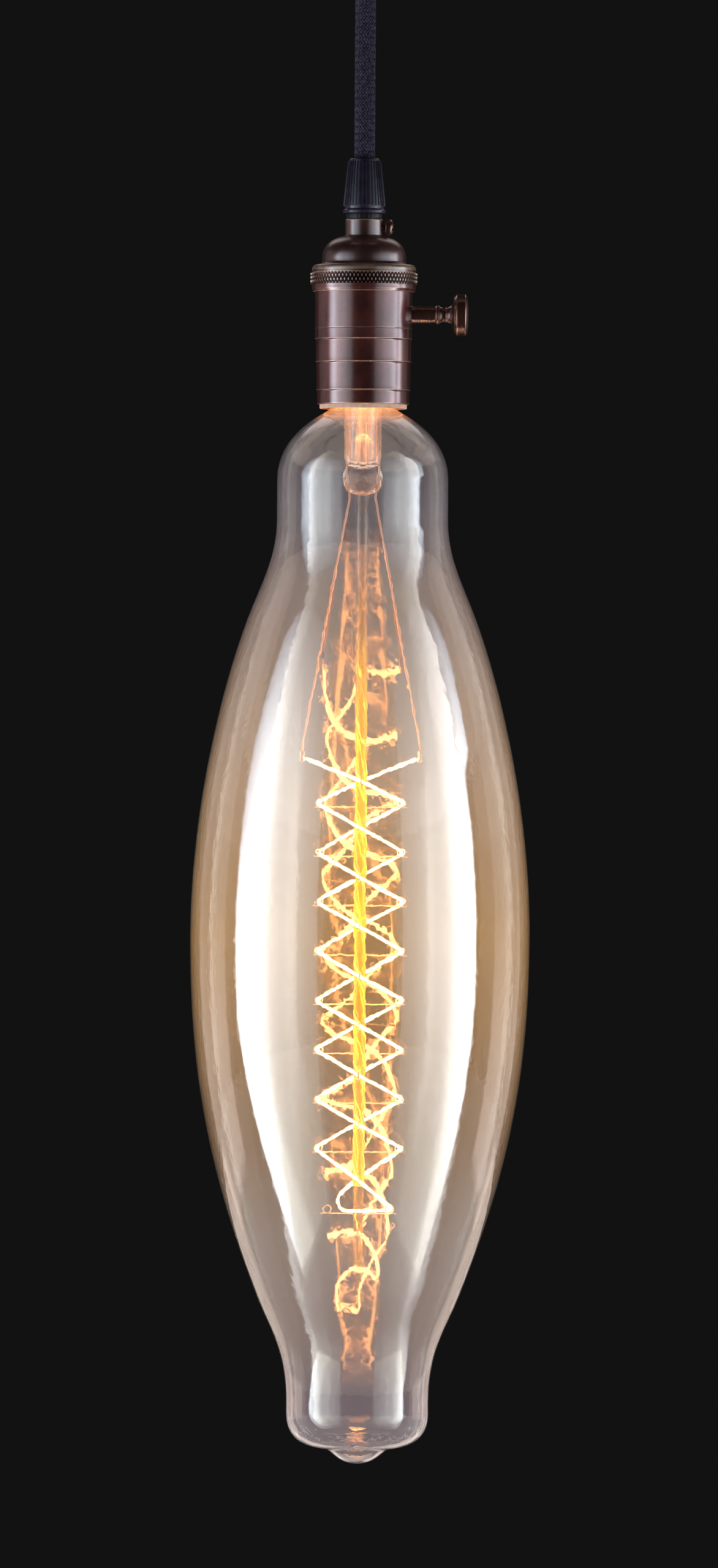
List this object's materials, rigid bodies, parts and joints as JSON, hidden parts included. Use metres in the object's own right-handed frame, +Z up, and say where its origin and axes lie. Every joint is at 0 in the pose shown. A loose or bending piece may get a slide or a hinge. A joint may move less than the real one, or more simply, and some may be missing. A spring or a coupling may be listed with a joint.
{
  "type": "pendant bulb lamp",
  "caption": "Hanging teardrop filament bulb in a bronze turn-knob lampholder, on a straight cloth cord from a small ceiling cap",
  "frame": {"origin": "on the ceiling plane, where the lamp's axis meets it, in the middle of the ceiling cap's rim", "axes": "Z up along the lamp's axis, so the lamp hangs at negative Z; X to the right, the way the switch knob points; Y away from the camera of the picture"},
  "size_m": [0.1274, 0.1274, 0.5983],
  "materials": {
    "aged_bronze": "dark brown bronzed brass with soft brushing and coppery wear on the edges",
    "zinc_steel": "zinc plated steel",
    "black_plastic": "satin black moulded plastic",
    "braided_cloth": "dark blue-black braid with lighter flecks",
    "cardboard": "matt pressed cardboard",
    "white_moulding": "cream moulded insulator",
    "red_moulding": "dark red moulded insulator",
    "plain_brass": "bare pressed brass",
    "wire_insulation": "matt wire insulation",
    "black_glass": "opaque black glass",
    "solder": "dull solder",
    "cement": "matt basing cement",
    "tinted_glass": "thin clear glass with a faint amber tint",
    "clear_glass": "clear drawn glass",
    "support_metal": "fine drawn wire",
    "glowing_filament": "lit coiled filament, white hot with an orange edge",
    "copper_wire": "coppery drawn wire"
  },
  "bodies": {
    "ceiling_fitting": {"canopy": "aged_bronze", "crossbar": "zinc_steel", "canopy_screws": "aged_bronze", "ceiling_grip": "black_plastic", "ceiling_locknut": "zinc_steel"},
    "hanging_cord": {"cord": "braided_cloth"},
    "lampholder": {"cord_grip": "black_plastic", "grip_nut": "aged_bronze", "socket_cap": "aged_bronze", "cap_locknut": "zinc_steel", "side_screw": "aged_bronze", "ring_nut": "aged_bronze", "socket_shell": "aged_bronze", "shell_liner": "cardboard", "socket_core": "white_moulding", "screw_shell": "plain_brass", "centre_contact": "plain_brass", "switch_blade": "plain_brass", "terminal_screws": "plain_brass", "supply_leads": "wire_insulation"},
    "switch": {"switch_rotor": "red_moulding", "knob_stem": "aged_bronze", "switch_knob": "aged_bronze"},
    "base_tip": {"base_contact": "solder"},
    "bulb": {"base_shell": "plain_brass", "base_insulator": "black_glass", "base_cement": "cement", "glass_envelope": "tinted_glass", "glass_stem": "clear_glass", "exhaust_tube": "clear_glass", "glass_rod": "clear_glass", "support_wires": "support_metal", "filament": "glowing_filament", "filament_clamps": "copper_wire", "lead_wire_left": "copper_wire", "lead_wire_right": "copper_wire", "base_leads": "copper_wire"}
  },
  "joints": [
    {"name": "swing_side", "type": "hinge", "parent": "ceiling_fitting", "child": "hanging_cord", "pos_m": [0, 0, -0.0445], "axis": [0, 1, 0], "range_deg": [-15, 15]},
    {"name": "swing_front", "type": "hinge", "parent": "hanging_cord", "child": "lampholder", "pos_m": [0, 0, -0.1085], "axis": [1, 0, 0], "range_deg": [-15, 15]},
    {"name": "knob_turn", "type": "hinge", "parent": "lampholder", "child": "switch", "pos_m": [0.03, 0, -0.167], "axis": [1, 0, 0], "continuous": true},
    {"name": "bulb_travel", "type": "slide", "parent": "lampholder", "child": "base_tip", "axis": [0, 0, -1], "range_m": [0, 0.0182]},
    {"name": "bulb_turn", "type": "hinge", "parent": "base_tip", "child": "bulb", "pos_m": [0, 0, -0.19], "axis": [0, 0, -1], "range_deg": [0, 1800]}
  ],
  "couplings": [
    {"joint": "bulb_travel", "follows": "bulb_turn", "m_per_rad": 0.00057757}
  ]
}
